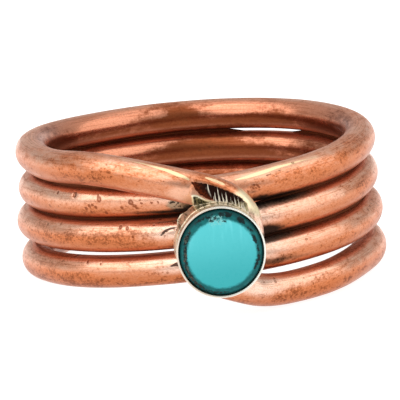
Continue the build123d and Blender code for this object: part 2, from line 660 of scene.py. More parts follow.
# %% [markdown]
# The upper front of both top turns was dressed too, along narrow bands. A band on a bent
# wire needs a row of small flats, one after the other, that turn with the wire. The skin
# also remembers how deep inside a band each point lies, which gives the material a crisp
# edge that doesn't depend on the size of the faces. At the end the wire is kept inside the
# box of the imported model, which wears a few outermost points flat by a hair.
# %% How deep inside a chain of places
far_off = 99.0  # millimetres, further than anything on the ring


def inside_chain(points, chain):
    """How far inside a chain each point is; each place in the chain ends in a half width."""
    deepest_yet = np.full(len(points), -far_off)
    for a, b in zip(chain, chain[1:]):
        step = b[:-1] - a[:-1]
        share = np.clip((points - a[:-1]) @ step / (step @ step), 0, 1)
        away = lengths(points - a[:-1] - share[:, None] * step)
        deepest_yet = np.maximum(deepest_yet, a[-1] + share * (b[-1] - a[-1]) - away)
    return deepest_yet


one_wide = np.array([(-1, 0, 0.5), (1, 0, 0.5)])
origin_alone = np.zeros((1, 2))
print("middle of a 1 mm wide chain:", inside_chain(origin_alone, one_wide)[0], "mm inside")

# %% The bands, listed
# degrees wound, degrees up from straight outwards, half width, depth
bands = [
    [
        (1413, 79, 0.010, 0.003), (1419, 73, 0.028, 0.004), (1424, 66, 0.060, 0.007),
        (1428, 58, 0.100, 0.010), (1431, 47, 0.100, 0.010), (1433.5, 36, 0.030, 0.004),
    ],
    [(1437, 62, 0.050, 0.008), (1439, 58, 0.110, 0.010), (1441.8, 53, 0.060, 0.008)],
    [
        (1087, 42, 0.030, 0.003), (1091, 44, 0.070, 0.008), (1096, 50, 0.105, 0.008),
        (1102, 59, 0.090, 0.008), (1110, 59, 0.045, 0.004), (1119, 54, 0.012, 0.003),
    ],
]
band_step = 0.8  # degrees from one small flat to the next
small_flat = 0.4  # and how far each of them reaches
turn_away = 1.0  # a flat cuts no point further along the wire than this
band_reach = 5  # no point of a band is further than this from its middle
box_margin = 0.002
print(len(bands), "bands to file")

# %% File bands along the wire
inside_band = np.full(len(wire_points), -1.0)


def file_band(rows):
    """A row of small flats along the wire; keeps how deep inside the band each point is."""
    rows = np.array(rows)
    angles = np.arange(rows[0, 0], rows[-1, 0], band_step)
    ups, half_widths, depths = read_off(angles, rows[:, 0], rows[:, 1:]).T
    way = []
    for angle, up, depth in zip(angles, np.radians(ups), depths):
        ring = np.argmin(np.abs(along - length_at(angle)))
        facing = coil_axes @ (cos(up) * outward[ring] + sin(up) * upward[ring])
        middle = from_coil(centres[ring]) + facing * (wire_radius - depth)
        way.append(middle)
        beside = np.abs(wire_along - along[ring]) < turn_away
        file_flat(wire_points, beside, middle, facing, small_flat)
    way = np.array(way)
    near = np.flatnonzero(lengths(wire_points - way.mean(axis=0)) < band_reach)
    depth_now = inside_chain(wire_points[near], np.column_stack([way, half_widths]))
    inside_band[near] = np.maximum(inside_band[near], depth_now)


for band in bands:
    file_band(band)
box_low, box_high = np.array(cad_box) / MM
wire_points[:] = np.clip(wire_points, box_low + box_margin, box_high - box_margin)
print("points filed bright:", int((inside_band > 0).sum()))

# %% [markdown]
# ## What the skin remembers
#
# Tarnish gathers where fingers and polishing cloths can't reach, so the material needs to
# know how near the next turn is. It also needs a place on the wire as if the wire were
# pulled straight, so that drawn lines run along it, and a place as seen from the cup for
# the marks of soldering. Each is worked out once, on the mesh's own points, and kept there
# as an attribute: every point carries its own numbers, and the material reads them.

# %% Nearness to the next turn
sparse = slice(None, None, 3)  # every third ring is close enough
other_centres = from_coil(centres[sparse]).astype(np.float32)
other_along = along[sparse]
same_turn = 20.0  # nearer along the wire than this is the same turn
batch = 4000  # points at a time, to spare the memory
nearness = np.empty(len(wire_points), np.float32)
for first in range(0, len(wire_points), batch):
    some = slice(first, first + batch)
    apart = wire_points[some, None, :].astype(np.float32) - other_centres[None, :, :]
    apart = np.sqrt((apart**2).sum(axis=2))
    apart[np.abs(wire_along[some, None] - other_along[None, :]) < same_turn] = far_off
    nearness[some] = apart.min(axis=1) - wire_radius
print("nearest neighbour", round(float(nearness.min()), 3), "mm away")

# %% The place on a straightened wire, and as seen from the cup
wire_around = np.tile(around, len(along))
straight = [wire_along, wire_radius * np.cos(wire_around), wire_radius * np.sin(wire_around)]
wire_seat = to_cup(wire_points)
wire_memory = {"straight": np.column_stack(straight), "seat": wire_seat, "nearness": nearness}
wire_memory["filed"] = inside_band
print("the skin remembers", ", ".join(wire_memory))

# %% [markdown]
# The heat of soldering left three kinds of mark near the cup: black soot in the corners,
# a dark maroon fire scale on the filed flat, and pale solder that ran along the hooked
# end. Each patch is a shape drawn flat in front of the cup. The skin keeps how deep inside
# the shape a point is, in millimetres, so that the material can fray its edge.


# %% Draw a patch in front of the cup
def depth_inside(points, outline):
    """How far inside a flat outline each point is, negative outside, in millimetres."""
    outline = np.array(outline + outline[:1])
    edge_away = -inside_chain(points, np.column_stack([outline, np.zeros(len(outline))]))
    inside = np.zeros(len(points), bool)
    for a, b in zip(outline, outline[1:]):
        spans = (a[1] > points[:, 1]) != (b[1] > points[:, 1])
        edge_across = a[0] + (b - a)[0] * (points[:, 1] - a[1]) / ((b - a)[1] or 1e-9)
        inside ^= spans & (points[:, 0] < edge_across)
    return np.where(inside, edge_away, -edge_away)


def patch_on_wire(outline, lowest_out):
    """The same, only on the outer side of the crossing wire; elsewhere it is outside."""
    depth = depth_inside(wire_seat[:, :2], outline)
    kept = crossing & (wire_seat[:, 2] > lowest_out)
    return np.where(kept, depth, -1.0)


square = [(-1, -1), (1, -1), (1, 1), (-1, 1)]
print("middle of a 2 mm square:", depth_inside(origin_alone, square)[0], "mm inside")

# %% Fire scale, solder, its thin wash, and painted shade of a hollow at the flat's left end
# how far in from the cup's foot the patch may reach, and its outline: across and up
patches = {
    "fire_scale": (-0.75, [
        (-1.16, 3.50), (-0.34, 3.30), (0.15, 3.09), (0.70, 2.80), (0.98, 2.62), (1.28, 2.42),
        (1.62, 2.00), (1.60, 1.20), (0.20, 1.90), (-0.09, 2.40), (-0.26, 2.42), (-0.51, 2.57),
        (-0.77, 2.75), (-0.95, 3.03),
    ]),
    "solder": (-1.1, [
        (0.90, 2.62), (1.25, 2.80), (1.75, 2.75), (2.20, 2.30), (2.45, 1.70), (2.40, 1.05),
        (1.95, 1.30), (1.50, 1.75), (1.10, 2.05),
    ]),
    "wash": (-1.3, [
        (-2.50, 3.05), (-1.90, 3.40), (-1.20, 3.40), (-0.95, 2.95), (-0.60, 2.70), (-0.05, 2.45),
        (-0.10, 2.00), (-1.20, 2.10), (-2.10, 2.60),
    ]),
    "web": (-1.4, [
        (-1.12, 2.74), (-0.93, 2.72), (-0.50, 2.44), (0.02, 2.28), (-0.50, 2.10), (-1.08, 2.04),
    ]),
}
for label, (lowest_out, outline) in patches.items():
    wire_memory[label] = patch_on_wire(outline, lowest_out)
print("points in the fire scale:", int((wire_memory["fire_scale"] > 0).sum()))

# %% [markdown]
# Other marks are softer: soot beside the cup, and places that are paler or browner than the
# rest. On the outside these are partly rubbed and browned copper and partly painted
# highlight and painted shade; on the inside of the ring they are painted highlights and
# painted shade. Each is an oval cloud on the coil, outside or inside, densest in its middle.
# Its place is how far round and how high; its size is in millimetres. The marks follow the
# real ring where it can be seen, and noise does the rest elsewhere.

# %% Soft marks
# degrees round, level, half the width, half the height, strength
soot_marks = [
    (-9, 1.20, 1.5, 0.17, 1.1), (-16, 1.20, 2.2, 0.12, 0.9), (-7.4, 1.42, 0.4, 0.16, 0.9),
    (-11, -0.62, 1.0, 0.14, 0.7), (15, 1.15, 0.9, 0.40, 1.2), (21, 1.14, 2.4, 0.30, 1.2),
    (32, 1.35, 2.2, 0.12, 0.6), (15.5, -0.36, 1.1, 0.36, 1.25), (18, -0.66, 2.0, 0.26, 1.1),
    (26, -0.50, 1.8, 0.13, 0.7), (17, -2.00, 1.7, 0.26, 0.74), (24, -2.04, 1.6, 0.14, 0.5),
    (12.5, 1.75, 0.4, 0.12, 0.6),
]
rubbed_marks = [
    (-30, 1.75, 4.5, 0.6, 0.5), (-14, 0.35, 1.8, 0.6, 1.2), (-22, -1.25, 2.2, 0.25, 0.9),
    (-15, -1.10, 0.9, 0.3, 0.8), (22, 0.55, 3.0, 0.4, 0.7), (20, -1.10, 2.0, 0.3, 0.9),
    (43, 0.55, 0.8, 0.2, 1.0), (20, -2.95, 3.0, 0.6, 1.3), (-60, 2.2, 2.0, 0.4, 0.5),
    (-20, 2.6, 2.0, 0.4, 0.5), (-48, 2.0, 2.5, 0.5, 0.9), (-30, 0.6, 4.0, 0.4, 0.8),
    (-34, 2.0, 4.0, 0.5, 0.5), (38, -2.7, 5.0, 0.35, 1.1), (-35, -1.15, 5.0, 0.22, 1.2),
]
brown_marks = [
    (-24, 0.10, 1.2, 0.35, 0.5), (-60, 3.4, 2.0, 0.35, 0.3), (18, -3.9, 2.5, 0.3, 0.9),
    (-31, 3.25, 1.6, 0.5, 1.2), (-42, 3.4, 3.0, 0.3, 0.45), (-22, 2.9, 1.6, 0.3, 0.5),
    (49, 2.45, 0.6, 0.4, 0.9), (30, -3.75, 6.0, 0.4, 0.8), (-40, -2.5, 7.0, 0.45, 0.8),
    (-50, -0.1, 4.0, 0.3, 0.8), (55, -2.6, 3.0, 0.4, 0.8), (55, 0.6, 2.5, 0.4, 0.7),
    (-35, -0.2, 3.0, 0.3, 0.4), (-27, 0.15, 2.0, 0.3, 0.6), (30, 2.2, 3.0, 0.4, 0.5),
    (60, 2.6, 2.5, 0.5, 0.5),
]
# painted highlights on the inside of the ring
inner_pale = [
    (-148, 3.45, 3.6, 0.5, 1.3), (-171, 3.15, 0.9, 0.3, 1.5), (157, 3.05, 1.8, 0.35, 1.5),
    (-158, 1.55, 2.6, 0.4, 1.2), (141, 1.25, 1.8, 0.3, 0.5), (128, 3.0, 2.5, 0.4, 0.5),
]
# painted shade on the inside of the ring
inner_dark = [
    (-178, 2.75, 1.4, 0.7, 2.0), (150, 2.45, 6.0, 0.3, 0.8), (160, 2.15, 3.0, 0.4, 1.4),
    (172, 0.95, 2.6, 0.45, 2.0), (156, 0.80, 1.5, 0.35, 1.2), (-120, 2.6, 2.0, 0.6, 0.9),
]
stray_drop = [(46.0, 0.42, 0.10, 0.22, 0.75)]  # of solder
burnt_flux = [(-9.3, 1.58, 0.75, 0.34, 1.2)]
print(len(soot_marks), "soot,", len(rubbed_marks), "rubbed and", len(brown_marks), "brown marks")

# %% The same marks on the skin
degree_length = radians(1) * outer_radius  # one degree round the outside, in millimetres
coil_place = (wire_points - coil_middle) @ coil_axes
coil_turned = np.degrees(np.arctan2(coil_place[:, 0], -coil_place[:, 1]))
coil_out = np.hypot(coil_place[:, 0], coil_place[:, 1])
outer_half = coil_out > coil_radius - 0.25  # and a little of the top and underside


def clouds_of(marks, chosen):
    """How strongly each chosen point lies in the nearest of these soft marks."""
    strongest = np.zeros(len(wire_points))
    for turned, level, wide, high, strength in marks:
        aside = (coil_turned - turned + 180) % 360 - 180
        sideways = degree_length * aside / wide
        upwards = (coil_place[:, 2] - level) / high
        here = strength * np.exp(-(sideways**2) - upwards**2)
        strongest = np.maximum(strongest, np.where(chosen, here, 0))
    return strongest


drop_ends_at = 0.45  # where its cloud gets thinner than this, the drop of solder ends
inside_drop = clouds_of(stray_drop, outer_half) - drop_ends_at
wire_memory["solder"] = np.maximum(wire_memory["solder"], inside_drop)
wire_memory["soot"] = clouds_of(soot_marks, outer_half)
wire_memory["flux"] = clouds_of(burnt_flux, outer_half & ~crossing)
rubbed_inside, browned_inside = (clouds_of(m, ~outer_half) for m in (inner_pale, inner_dark))
wire_memory["rubbed"] = clouds_of(rubbed_marks, outer_half) + rubbed_inside
wire_memory["browned"] = clouds_of(brown_marks, outer_half) + browned_inside
print("sooty points:", int((wire_memory["soot"] > 0.5).sum()))

# %% [markdown]
# A few marks are sharp: round pits where scale was pickled away, and scratches. A pit is
# a place with a radius. A scratch is a chain of places, each with half the scratch's
# width there. Both are pressed into the mesh itself, and the skin remembers them so that
# dirt can sit in them.

# %% Pits and scratches, listed
# degrees round, level, radius
pits_pressed = [
    (11.9, 1.97, 0.05), (12.4, 2.06, 0.05), (13.2, 2.09, 0.05), (14.1, 2.05, 0.06),
    (14.6, 1.95, 0.05), (13.6, 1.90, 0.04), (12.8, 1.93, 0.04), (11.0, 1.80, 0.05),
    (-46.2, 2.09, 0.12), (-36.3, 1.95, 0.13), (-39.9, 1.59, 0.08), (-41.4, 1.45, 0.09),
    (-37.6, 1.53, 0.08), (-25.3, 1.80, 0.13), (-54.4, 2.09, 0.07), (-34.4, 1.23, 0.08),
    (-38.8, 1.66, 0.07), (-39.8, 1.26, 0.07), (-21.9, 1.75, 0.06), (-18.7, 1.73, 0.06),
    (-16.7, 1.74, 0.05), (-24.2, 1.62, 0.08), (-23.6, 1.48, 0.06), (-36.9, 2.12, 0.06),
    (-28.5, 1.50, 0.07), (-29.8, 0.50, 0.09), (-27.5, 0.45, 0.09), (-25.5, 0.03, 0.06),
    (-34.4, -0.13, 0.05), (-51.1, -1.25, 0.08), (-44.0, -1.42, 0.06), (-38.6, -1.47, 0.05),
]
# each is a chain: degrees round, level, half the width
scratches_pressed = [
    # the first two are dark marks beside the cup on the two lower turns: a curved line, and a wedge
    # that widens towards the cup
    [(-16.8, 0.04, 0.045), (-15.4, 0.25, 0.070), (-13.6, 0.37, 0.060), (-11.3, 0.41, 0.035)],
    [(-15.8, -1.66, 0.015), (-14.2, -1.56, 0.060), (-12.4, -1.50, 0.120)],
    [(12.3, 2.31, 0.012), (18.1, 2.45, 0.020), (25.0, 2.60, 0.010)],
    [(15.4, 2.20, 0.010), (21.4, 2.33, 0.018), (29.7, 2.53, 0.008)],
    [(16.1, 0.25, 0.008), (18.5, 0.36, 0.014), (21.9, 0.49, 0.008)],
]
print(len(pits_pressed), "pits and", len(scratches_pressed), "scratches")

# %% Pits and scratches pressed into the skin
pressed_in = 0.035
scratch_share = 0.25  # of a pit's depth
scratch_edge = 0.06  # the width over which a scratch slopes down
skin_place = np.column_stack([degree_length * coil_turned, coil_place[:, 2]])
dent = np.zeros(len(wire_points))
for pit_turned, pit_level, pit_radius in pits_pressed:
    pit_middle = (degree_length * pit_turned, pit_level)
    away = lengths(skin_place - pit_middle) / pit_radius
    dent = np.maximum(dent, np.where(outer_half, np.exp(-(away**2)), 0))
inside_scratch = np.full(len(wire_points), -1.0)
for scratch in scratches_pressed:
    inside = inside_chain(skin_place, np.array(scratch) * (degree_length, 1, 1))
    inside_scratch = np.maximum(inside_scratch, np.where(outer_half, inside, -1))
pressed = np.maximum(dent, scratch_share * np.clip(0.5 + inside_scratch / scratch_edge, 0, 1))
skin_outward = unit(wire_points - from_coil(np.repeat(centres, wire_sides, axis=0)))
wire_points -= pressed_in * pressed[:, None] * skin_outward
wire_memory["dent"] = dent
wire_memory["scratched"] = inside_scratch
print("points pressed in:", int((pressed > 0.3).sum()))

# %% [markdown]
# ## From rings to a piece
#
# All round pieces are made the same way: rings of points, a skin of four-sided faces
# between neighbouring rings, and a small fan to close each end. Checking the enclosed
# volume shows whether the faces look outwards; if not, they are turned over.


# %% Skin over rings
def skin(name, rings, attributes=None):
    """A closed mesh object over rings given in millimetres, riding on the ring's body."""
    count, sides = rings.shape[:2]
    points = np.vstack([rings.reshape(-1, 3), rings[0].mean(axis=0), rings[-1].mean(axis=0)])
    here = np.arange(sides)
    there = (here + 1) % sides
    rows = np.arange(count - 1)[:, None] * sides
    quads = np.stack([rows + here, rows + there, rows + sides + there, rows + sides + here], axis=2)
    first_fan = np.column_stack([there, here, np.full(sides, count * sides)])
    last = (count - 1) * sides
    last_fan = np.column_stack([last + here, last + there, np.full(sides, count * sides + 1)])
    a, b, c, d = (points[quads[:, :, i]] for i in range(4))
    volume = (np.cross(b - a, c - a) * a).sum() + (np.cross(c - a, d - a) * a).sum()
    if volume < 0:
        quads = quads[:, :, ::-1]
        first_fan = first_fan[:, ::-1]
        last_fan = last_fan[:, ::-1]
    mesh = bpy.data.meshes.new(name)
    faces = quads.reshape(-1, 4).tolist() + first_fan.tolist() + last_fan.tolist()
    mesh.from_pydata((points * MM).tolist(), [], faces)
    mesh.shade_smooth()
    for label, values in (attributes or {}).items():
        ends = [values[:sides].mean(axis=0), values[-sides:].mean(axis=0)]
        values = np.concatenate([values, ends])
        flat = values.ndim == 1
        kind = "FLOAT" if flat else "FLOAT_VECTOR"
        kept = mesh.attributes.new(label, kind, "POINT")
        kept.data.foreach_set("value" if flat else "vector", values.astype(np.float32).ravel())
    piece = bpy.data.objects.new(name, mesh)
    scene.collection.objects.link(piece)
    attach(piece, "root")
    print(name, len(mesh.vertices), "points,", round(abs(volume) / 6, 2), "cubic mm")
    return piece


wire = skin("wound_wire", wire_rings, wire_memory)
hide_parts("coil")

# %% [markdown]
# ## What is packed between the turns
#
# Where two turns almost touch, years of polish and skin have packed the crack with a
# nearly black residue, and no light comes through. The strip's dark colour also stands in
# for the deep shade of the narrow crack, so it is partly painted shade. Where they stand
# further apart the crack stays open. So the code goes along the wire, finds the turn above,
# and wherever the space is narrow it lays a thin strip that just bites into both wires.
# Towards its ends a strip gets narrow and lets go of the wire above, so that a white gap
# ends in a fine point.

# %% One section of a strip
wire_tail = 60  # the wire's last rings run under the cup, where the angle turns back
wound = degrees_wound(centres)
residue_width = 0.085
bite = 0.015
section_steps = np.array([-1.0, -0.5, 0.0, 0.5, 1.0])
print("the wire winds from", round(wound[0]), "to", round(wound.max()), "degrees")


def centre_at(angle):
    """The middle of the wire after winding this many degrees."""
    return read_off(angle, wound[:-wire_tail], centres[:-wire_tail])


def residue_ring(angle, from_end, change):
    """A flat section between the turn at this angle and the one above it."""
    below = centre_at(angle)
    above = centre_at(angle + 360)
    apart = np.linalg.norm(above - below)
    climb = (above - below) / apart
    out = round_the_coil(angle, 1, 0)
    out = out - climb * (out @ climb)
    taper = min(1.0, 0.12 + from_end / 5)  # full width from 4.4 degrees in
    filled = min(1.0, -0.9 + from_end / 4.5)  # reaches the turn above from 8.5 degrees in
    width = residue_width * (1 + 0.3 * change) * taper
    half_space = apart / 2 - np.sqrt(wire_radius**2 - (section_steps * width) ** 2)
    flat = (below + above) / 2 + np.outer(section_steps * width, out)
    top = flat + filled * np.outer(half_space + bite, climb)
    foot = flat - np.outer(half_space + bite, climb)
    return np.vstack([top, foot[::-1]])


# %% Residue in the narrow cracks
cracks = [(250, 271), (366, 716), (732, 859), (876.5, 1052)]  # degrees wound, from and to
crack_step = 1.6
residues = []
for number, (crack_start, crack_end) in enumerate(cracks, 1):
    angles = np.arange(crack_start, crack_end, crack_step)
    from_ends = np.minimum(angles - crack_start, crack_end - angles)
    sections = zip(angles, from_ends, wander(angles, longest=40))
    rings = from_coil(np.array([residue_ring(*section) for section in sections]))
    strip = skin(f"residue_{number}", rings, {"seat": to_cup(rings.reshape(-1, 3))})
    residues.append(strip)

# %% [markdown]
# The residue is almost black beside the cup, where the flame sooted it, and dark brown
# further round. That darkness is partly painted shade of the deep crack. It is matt and
# crumbly, so it hardly shines at all.

# %% Black residue, partly painted crack shade
dirt, dirt_start, dirt_shader = start_material("crack_residue_and_shade")
dirt_place = remembered(dirt_start, "seat", "Vector")
crumbs = cloud(dirt_place, 6.0, 4.0, 0.7)
# near-black colour: partly residue, and partly painted shade of the narrow crack
soil = blend(crumbs, (0.010, 0.003, 0.001), (0.040, 0.011, 0.004))
soil = blend(between(distance(dirt_place), 4.0, 8.0), soil, (0.12, 0.032, 0.012))
plug(soil, dirt_shader, "Base Color")
plug(crumbs * 0.3 + 0.6, dirt_shader, "Roughness")
dirt_shader.inputs["Specular IOR Level"].default_value = 0.05
for strip in residues:
    strip.data.materials.append(dirt)
tell(dirt)

# %% [markdown]
# ## Copper that has been worn
#
# Old copper isn't one colour. Where it is rubbed it is pale pink and bright, and where it
# isn't a thin orange-brown skin grows, thicker and darker in the gaps between the turns,
# where the darkness is partly painted shade. A plain noise would look like rust, so the
# material asks at each spot which side of the wire it is on and what the skin remembers
# there, and the side also sets painted light on the top and painted shade underneath and
# inside. Noise then frays every border. It comes as four clouds: large patches, a mottle,
# freckles, and a grain drawn out along the wire.

# %% Clouds on the straightened wire
copper, copper_start, copper_shader = start_material("worn_copper")
place = remembered(copper_start, "straight", "Vector")
outer_side = part(place, "Y") / wire_radius  # 1 away from the finger, -1 towards it
upper_side = part(place, "Z") / wire_radius  # 1 on top, -1 underneath


def drawn_out(share):
    """The place on the wire, so that clouds on it are drawn out along the wire."""
    return place * (share, 1.0, 1.0)


large = cloud(drawn_out(0.45), 0.55, 3.0, 0.55)
mottle = cloud(drawn_out(0.5), 3.0, 5.0, 0.75)
freckle = cloud(place, 8.0, 3.0, 0.7)
drawn = cloud(drawn_out(0.06), 9.0, 2.0)
patchy = large - 0.5  # the same clouds, but around zero
mottled = mottle - 0.5
freckled = freckle - 0.5
tell(copper)

# %% [markdown]
# How much brown skin is left at a spot is a sum of the clouds, less in the pale marks and
# more in the brown ones, and a little less on top, which paints some light there. Where the
# sum is low the metal is pink, and where it is high it is orange. The underside is painted
# darker and browner still: painted shade, with some real browner skin there as well.

# %% Brown skin over pink metal, with painted light on top and painted shade underneath
rubbed_pink = (0.92, 0.53, 0.375)
orange_skin = (0.74, 0.245, 0.100)
brown_skin = (0.30, 0.085, 0.030)
rubbed = remembered(copper_start, "rubbed")
browned = remembered(copper_start, "browned")
# a little less skin on top, which paints some light there
skin_left = large * 0.7 + mottle * 0.8 + freckle * 0.25 + drawn * 0.1 - upper_side * 0.10
skin_left = skin_left - rubbed * 0.30 + browned * 0.24
brown_share = between(skin_left, 0.62, 1.06)
metal = blend(brown_share, rubbed_pink, orange_skin)
# painted shade: the underside of each turn is darker and browner, with some real browner skin there
# as well
low_side = between(upper_side + patchy * 0.7 + mottled * 0.5, 0.42, -0.35)
low_side = low_side * (1 - rubbed * 0.55)
metal = blend(low_side * 0.80, metal, (0.50, 0.160, 0.062))
# more painted shade on the very underside of each turn
lowest = between(upper_side + patchy * 0.5, -0.55, -0.95) * (1 - rubbed * 0.8)
metal = blend(lowest * 0.35, metal, (0.40, 0.115, 0.042))
tell(copper)

# %% [markdown]
# Inside the ring the copper is painted a deeper red, which is painted shade and the
# painted reflection of the copper turns in each other. It is darkest where each turn's
# widest part faces the finger, and warms up again below, a painted reflection of the turns
# under it. The very top of each turn is painted duller, which is painted shade from the turn
# above; its extra roughness there stands for dust.

# %% Painted shade and reflection inside, and the tops in painted shade and dust
inner_side = between(outer_side + patchy * 0.4 + upper_side * 0.3, 0.25, -0.25)
# painted shade and reflection: the inside of the ring in a deeper red
inner_red = blend(between(skin_left, 0.68, 1.00), (0.70, 0.27, 0.155), (0.21, 0.050, 0.019))
# painted shade: darker below the middle of each turn on the inside
inner_red = darken(between(upper_side, 0.10, -0.15), inner_red, (0.68, 0.58, 0.54))
# painted reflection of the turns below, warming the underside again
inner_red = blend(between(upper_side, -0.35, -0.80) * 0.5, inner_red, (0.92, 0.40, 0.24))
metal = blend(inner_side * 0.85, metal, inner_red)
# painted shade from the turn above, on the very top of each turn
dusty = between(upper_side + mottled * 0.3, 0.68, 0.92)
metal = blend(dusty * 0.20, metal, (0.50, 0.25, 0.16))
tell(copper)

# %% [markdown]
# Beside the cup the upper half of each turn is painted paler, a painted highlight. The
# crests, which are the parts of each turn that stand furthest out and up, get a painted
# highlight too. Both stop short of the top turns, so the place as seen from the cup limits
# them.

# %% Painted highlights beside the cup and on the crests
seat = remembered(copper_start, "seat", "Vector")
seat_across = part(seat, "X")
seat_up = part(seat, "Y")
# painted highlight on the upper half of each turn beside the cup
silvered = between(distance(seat) + mottled * 1.2, 5.2, 2.8) * between(upper_side, -0.4, 0.2)
silvered = silvered * between(seat_up + seat_across * 0.2, 2.9, 2.2) * (1 - browned * 0.4)
metal = blend(silvered * 0.66, metal, (1.0, 0.80, 0.68))
# painted highlight on the crests
crest = between(upper_side + mottled * 0.4, 0.05, 0.40) * between(upper_side, 0.92, 0.70)
crest = crest * between(outer_side, 0.1, 0.5) * between(seat_up + seat_across * 0.05, 2.9, 2.6)
crest_share = 0.30 - between(seat_across, -1.0, 3.0) * 0.16
metal = blend(crest * crest_share, metal, (1.0, 0.66, 0.50))
tell(copper)

# %% [markdown]
# Three finer things lie over that: stains with ragged borders, small dark spots, and the
# fine dark lines that the drawing die left along the wire, with a dusty grain over all.

# %% Stains, spots and drawn lines
speckle = mottle + freckled * 0.8 + patchy * 0.5 + browned * 0.12
# stains, heavier on the underside, where they add to the painted shade
stained = between(speckle, 0.50, 0.72) * (low_side * 0.36 + browned * 0.55 + 0.24)
stained = stained * (1 - rubbed * 0.4) * (1 - inner_side * 0.5)
metal = blend(stained, metal, brown_skin)
spots = between(freckle + mottled * 0.7 + patchy * 0.3 + browned * 0.05, 0.60, 0.67)
spots = spots * (0.30 + browned * 0.35) * (1 - rubbed * 0.5)
metal = blend(spots, metal, (0.21, 0.062, 0.024))
die_lines = between(cloud(drawn_out(0.03), 15.0, 1.0), 0.54, 0.64)
metal = darken(die_lines * between(upper_side, -0.1, 0.6) * 0.6, metal, (0.66, 0.50, 0.40))
grain = cloud(drawn_out(0.7), 13.0, 2.0, 0.6)
metal = darken(between(grain, 0.42, 0.66) * 0.45, metal, (0.72, 0.60, 0.50))
tell(copper)

# %% [markdown]
# The filed bands are bare metal, painted almost golden: partly the bare metal's colour and
# partly a painted highlight. On the right the file also brushed the wire beside its band,
# which is left a little paler.

# %% Filed bright, with a painted highlight
inside_file = remembered(copper_start, "filed")
beside_file = between(inside_file + mottled * 0.2, -0.30, -0.04)
beside_file = beside_file * between(seat_across, 0.6, 1.8)
metal = blend(beside_file * 0.38, metal, (1.0, 0.70, 0.50))
filed = between(inside_file + freckled * 0.03, -0.022, 0.012)
# the bare filed metal, painted golden, which is partly a painted highlight
metal = blend(filed * 0.9, metal, (1.0, 0.79, 0.47))
tell(copper)

# %% [markdown]
# Small pits were left by scale and by handling. A Voronoi texture scatters cells over the
# wire, each with a random number of its own. That number says how wide the pit in this
# cell is, and most are too small to see. They come in clusters, so a cloud decides where.
# The pits and scratches that were pressed into the mesh get their dirt here too.


# %% Pits and scratches
def pits(where, per_mm, largest, crowd):
    """Dark pits in a scatter of cells: 1 in the middle of a pit, 0 outside."""
    cells = {"Vector": where, "Scale": per_mm, "Randomness": 1.0}
    away = where.node("TexVoronoi", None, cells, "Distance")
    chance = where.node("TexVoronoi", None, cells, "Color")
    chance = where.node("SeparateColor", None, {0: chance}, "Red")
    width = (chance**4.0) * largest * crowd
    return between(width - away, 0.0, 0.08)


cluster = between(cloud(place, 0.55, 2.0), 0.42, 0.62) * between(outer_side, 0.0, 0.6)
pitted = larger(pits(place, 4.0, 0.55, cluster), pits(place, 2.0, 0.16, cluster))
metal = blend(pitted * 0.6, metal, (0.26, 0.08, 0.03))
pit_depth = remembered(copper_start, "dent") + freckled * 0.4
dented = between(pit_depth, 0.14, 0.40) * (1 - between(pit_depth, 0.60, 1.0) * 0.5)
metal = blend(dented * 0.85, metal, (0.22, 0.055, 0.02))
scratched = between(remembered(copper_start, "scratched") + freckled * 0.05, -0.012, 0.014)
metal = blend(scratched * 0.92, metal, (0.035, 0.012, 0.007))
tell(copper)

# %% [markdown]
# In the gaps the copper is first a dark red and then black: tarnish in the hollows, and
# painted shade of the narrow crack as well. How near the next turn is drives both, and a
# little noise keeps the border from being a clean line. Beside the cup come burnt flux,
# which is a pale crust with black specks, and soot.

# %% Tarnish and painted shade in the gaps, flux and soot
gap = remembered(copper_start, "nearness")
ragged = mottled * 0.3
# dark red: tarnish in the gaps, and painted shade of the narrow crack
red_gap = gap + ragged * 0.4 + upper_side * 0.24 + inner_side * 0.27 + rubbed * 0.06
red_gap = between(red_gap, 0.32, 0.10)
metal = blend(red_gap * 0.56, metal, (0.28, 0.062, 0.018))
# black in the narrowest gaps: tarnish and painted shade
black_gap = between(gap + ragged * 0.3 + upper_side * 0.03 + inner_side * 0.13, 0.12, 0.04)
metal = blend(black_gap * 0.9, metal, (0.03, 0.010, 0.005))
flux = remembered(copper_start, "flux") + mottled * 0.5
metal = blend(between(flux, 0.25, 0.55) * 0.75, metal, (0.26, 0.21, 0.14))
sooty = remembered(copper_start, "soot") + mottled * 0.7 + freckled * 0.4
specks = between(flux, 0.2, 0.5) * between(freckle, 0.53, 0.60)
sooty = larger(between(sooty, 0.14, 0.92), specks)
metal = blend(sooty * 0.96, metal, (0.014, 0.010, 0.008))
tell(copper)

# %% [markdown]
# Near the cup the flat carries dark maroon fire scale, cut through by bright file
# scratches that fan downwards. The strokes are a sine across the flat whose step is upset
# by noise, and raising it to a power leaves thin bright lines. Down towards the cup they
# win over the scale, which turns olive there as the solder thins it.

# %% Fire scale and file scratches
fray = cloud(seat, 7.0, 3.0, 0.7) - 0.5
scaled = between(remembered(copper_start, "fire_scale") + fray * 0.16, -0.01, 0.05)
fan_inputs = {0: seat_across * (1.0 + seat_up * 0.06), 1: seat_up * 0.08}
fan = seat.node("CombineXYZ", None, fan_inputs)
scratches = cloud(fan, 18.0, 1.0, 0.5)
longer = cloud(fan, 2.5, 1.0, 0.5)
phase = seat_across * 32.0 + longer * 14.0 + scratches * 3.0
strokes = (phase.sum("SINE", phase) * 0.5 + 0.5) ** 2.5
above_edge = seat_up + seat_across * 0.5 - 2.44
lift = strokes * 0.48 + scratches * 1.5 + longer * 0.7 - above_edge * 0.90
bright_scratch = between(lift, 1.12, 1.28)
bright_scratch = bright_scratch * between(seat_across + above_edge * 0.6, -0.22, -0.02)
scale_colour = blend(between(freckle, 0.42, 0.58), (0.14, 0.026, 0.009), (0.045, 0.010, 0.005))
blackened = between(seat_across + above_edge + fray, -0.7, 0.1)
scale_colour = blend(blackened, scale_colour, (0.020, 0.008, 0.006))
